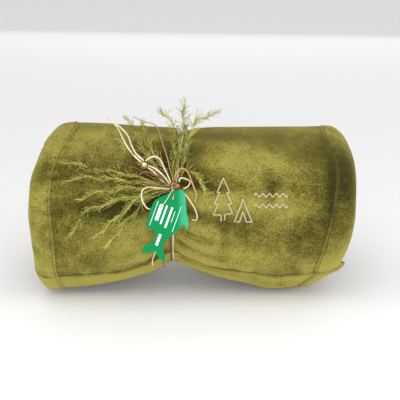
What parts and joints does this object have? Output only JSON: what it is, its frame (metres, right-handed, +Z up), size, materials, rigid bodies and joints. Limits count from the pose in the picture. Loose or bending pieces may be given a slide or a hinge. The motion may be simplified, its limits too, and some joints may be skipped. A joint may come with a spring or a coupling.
{
  "type": "rolled camp blanket",
  "caption": "Soft plush blanket folded, rolled and tied round its waist with raffia, decorated with dried sprigs and a hanging fish-shaped tag.",
  "frame": {"origin": "on the surface that the roll lies on, under the middle of the part without its loose strands", "axes": "+X along the roll to the viewer's right, -Y to the front with the bow and the tag, +Z up"},
  "size_m": [0.47, 0.2454, 0.2916],
  "materials": {
    "olive_plush": "soft short-pile plush fleece, matt",
    "olive_plush_hem": "the same plush turned over and sewn down",
    "olive_thread": "sewing thread",
    "cream_thread": "satin-stitched embroidery thread",
    "white_satin": "woven satin label ribbon, blank",
    "cream_raffia": "raffia-like ribbon, dull",
    "tan_raffia": "raffia-like ribbon, dull",
    "brown_raffia": "raffia-like ribbon, dull",
    "dried_sprig": "dried plant, matt",
    "green_card": "printed card, semi-gloss"
  },
  "bodies": {
    "blanket": {"blanket_roll": "olive_plush", "brown_end_bottom": "brown_raffia", "brown_loop_left": "brown_raffia", "cream_arch": "cream_raffia", "cream_end_bottom": "cream_raffia", "cream_end_long": "cream_raffia", "cream_end_right": "cream_raffia", "cream_end_short": "cream_raffia", "cream_loop_down": "cream_raffia", "cream_loop_right": "cream_raffia", "cream_strand_inner": "cream_raffia", "cream_strand_outer": "cream_raffia", "embroidered_pine": "cream_thread", "embroidered_tent": "cream_thread", "embroidered_waves_lower": "cream_thread", "embroidered_waves_upper": "cream_thread", "end_hem": "olive_plush_hem", "end_hem_stitching": "olive_thread", "russet_end_left": "brown_raffia", "side_hem_left": "olive_plush_hem", "side_hem_right": "olive_plush_hem", "side_hem_stitching_left": "olive_thread", "side_hem_stitching_right": "olive_thread", "side_knot": "cream_raffia", "sprig_left_1": "dried_sprig", "sprig_left_2": "dried_sprig", "sprig_left_3": "dried_sprig", "sprig_left_4": "dried_sprig", "sprig_left_5": "dried_sprig", "sprig_left_6": "dried_sprig", "sprig_right": "dried_sprig", "sprig_top_1": "dried_sprig", "sprig_top_2": "dried_sprig", "sprig_top_3": "dried_sprig", "sprig_upper_1": "dried_sprig", "sprig_upper_2": "dried_sprig", "sprig_upper_3": "dried_sprig", "tan_end": "tan_raffia", "tan_loop_right": "tan_raffia", "tie_knot": "cream_raffia", "tie_wrap_brown": "brown_raffia", "tie_wrap_cream": "cream_raffia"},
    "hitch": {"tag_hitch": "cream_raffia"},
    "hang_tag": {"tag": "green_card", "tag_string": "cream_raffia"},
    "label": {"care_label": "white_satin"}
  },
  "joints": [
    {"name": "tag_swing", "type": "hinge", "parent": "blanket", "child": "hitch", "pos_m": [-0.02337, -0.09781, 0.1833], "axis": [0, -0.9703, 0.2419], "range_deg": [0, 24]},
    {"name": "tag_lift", "type": "hinge", "parent": "hitch", "child": "hang_tag", "pos_m": [-0.02337, -0.09781, 0.1833], "axis": [-0.9397, 0.0827, 0.3319], "range_deg": [0, 95]},
    {"name": "label_flip", "type": "hinge", "parent": "blanket", "child": "label", "pos_m": [0.19234, 0.11698, 0.1398], "axis": [0, 0.1392, -0.9903], "range_deg": [0, 90]}
  ]
}
